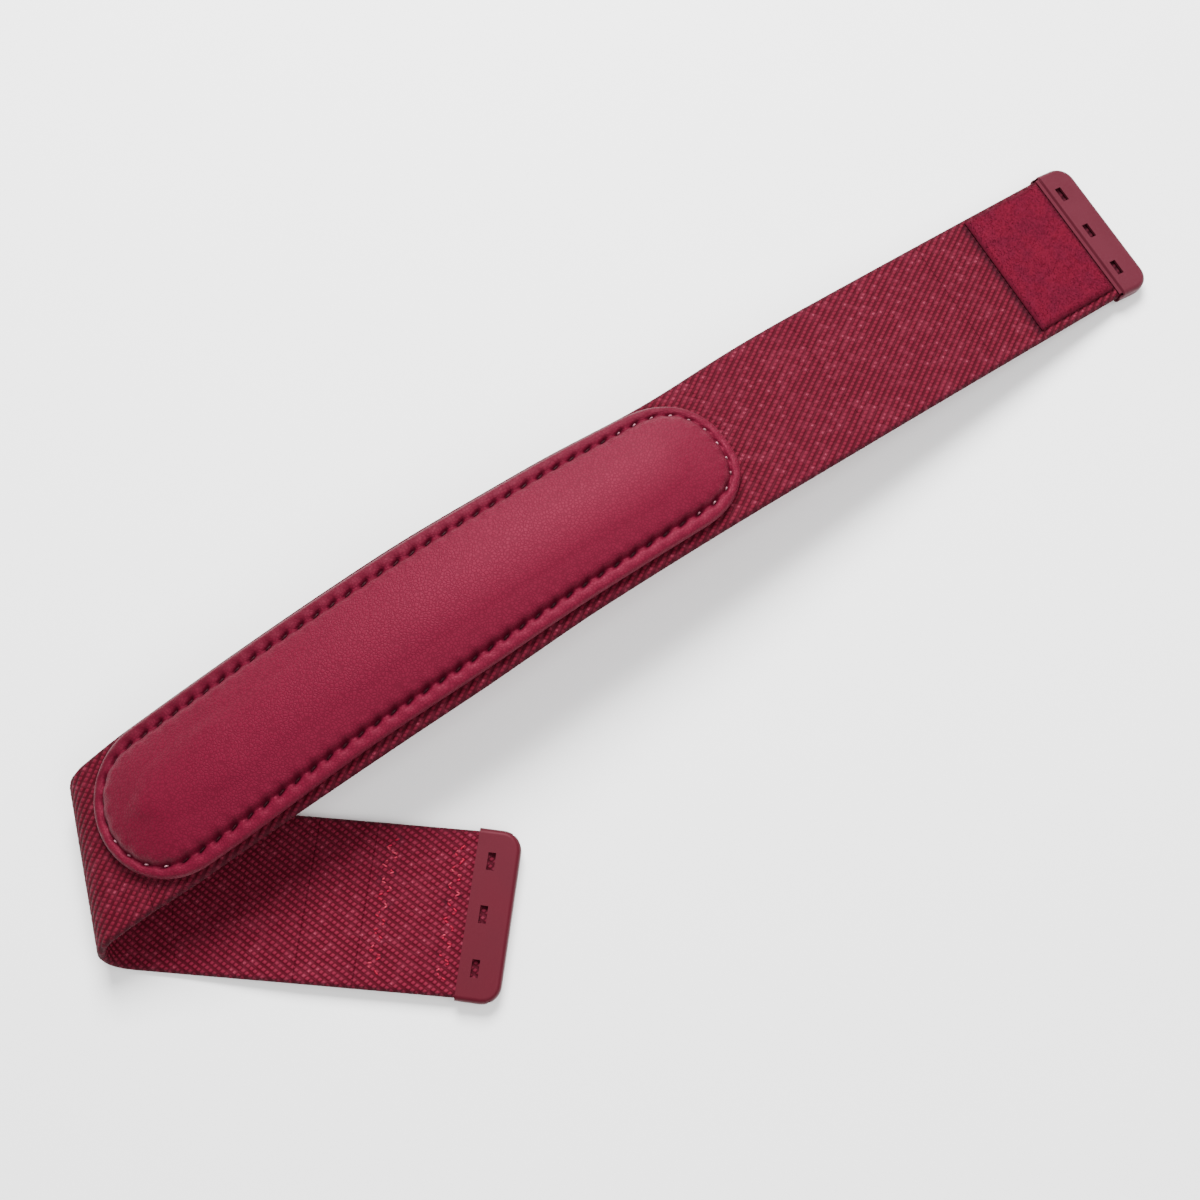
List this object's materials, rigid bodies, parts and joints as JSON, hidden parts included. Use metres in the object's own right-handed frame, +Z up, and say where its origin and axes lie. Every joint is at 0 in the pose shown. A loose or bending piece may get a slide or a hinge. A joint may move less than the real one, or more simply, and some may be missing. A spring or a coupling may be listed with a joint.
{
  "type": "padded elastic strap",
  "caption": "Elastic webbing strap with a stitched leather pad in its middle, and a hook patch and moulded tab at each end, lying arched with one end folded under.",
  "frame": {"origin": "middle of the laid-out strap's bounding box, on the surface it lies on", "axes": "+X along the padded stretch towards the right end, +Y across the band away from the folded-under tail, +Z up, out of the pad"},
  "size_m": [0.242, 0.076, 0.0279],
  "materials": {
    "webbing": "dark red twill elastic webbing with fine slanting ribs",
    "soft_leather": "soft fine-grained crimson leather, satin",
    "thread": "dark red polyester sewing thread",
    "hook_patch": "short fuzzy pile of a hook patch, matt",
    "tab_plastic": "matt moulded plastic, dusky red",
    "foam": "open-cell foam, hidden in the pad"
  },
  "bodies": {
    "pad_section": {"band_main": "webbing", "pad_cover": "soft_leather", "pad_foam": "foam", "pad_needle_thread": "thread", "pad_bobbin_thread": "thread"},
    "fold_middle": {"band_fold": "webbing"},
    "left_inner": {"band_left_inner": "webbing"},
    "left_outer": {"band_left_outer": "webbing"},
    "left_end": {"band_left_end": "webbing", "left_patch": "hook_patch", "left_zigzag_inner": "thread", "left_zigzag_outer": "thread", "left_tab": "tab_plastic"},
    "right_inner": {"band_right_inner": "webbing"},
    "right_outer": {"band_right_outer": "webbing"},
    "right_end": {"band_right_end": "webbing", "right_patch": "hook_patch", "right_zigzag_inner": "thread", "right_zigzag_outer": "thread", "right_tab": "tab_plastic"}
  },
  "joints": [
    {"name": "tail_fold", "type": "hinge", "parent": "pad_section", "child": "fold_middle", "pos_m": [-0.11353, 0.02344, 0.00936], "axis": [0.3372, 0.9414, 0], "range_deg": [0, 86]},
    {"name": "tail_fold_lower", "type": "hinge", "parent": "fold_middle", "child": "left_inner", "pos_m": [-0.11267, 0.02313, 0.00172], "axis": [0.3372, 0.9414, 0], "range_deg": [0, 86]},
    {"name": "left_stretch", "type": "slide", "parent": "left_inner", "child": "left_outer", "axis": [0.7781, -0.6281, 0], "range_m": [0, 0.012], "stiffness_N_per_m": 250},
    {"name": "left_end_fold", "type": "hinge", "parent": "left_outer", "child": "left_end", "pos_m": [-0.07985, -0.00824, 0.0001], "axis": [0.6281, 0.7781, 0], "range_deg": [0, 176], "stiffness_Nm_per_rad": 0.001},
    {"name": "right_flex", "type": "hinge", "parent": "pad_section", "child": "right_inner", "pos_m": [0.03661, 0.02225, 0.01687], "axis": [0, -1, 0], "range_deg": [0, 80], "stiffness_Nm_per_rad": 0.003},
    {"name": "right_stretch", "type": "slide", "parent": "right_inner", "child": "right_outer", "axis": [0.9863, 0, -0.165], "range_m": [0, 0.012], "stiffness_N_per_m": 250},
    {"name": "right_end_fold", "type": "hinge", "parent": "right_outer", "child": "right_end", "pos_m": [0.0896, 0.02225, 0.00953], "axis": [0, -1, 0], "range_deg": [0, 176], "stiffness_Nm_per_rad": 0.001}
  ],
  "couplings": [
    {"joint": "tail_fold_lower", "follows": "tail_fold", "ratio": 1}
  ]
}
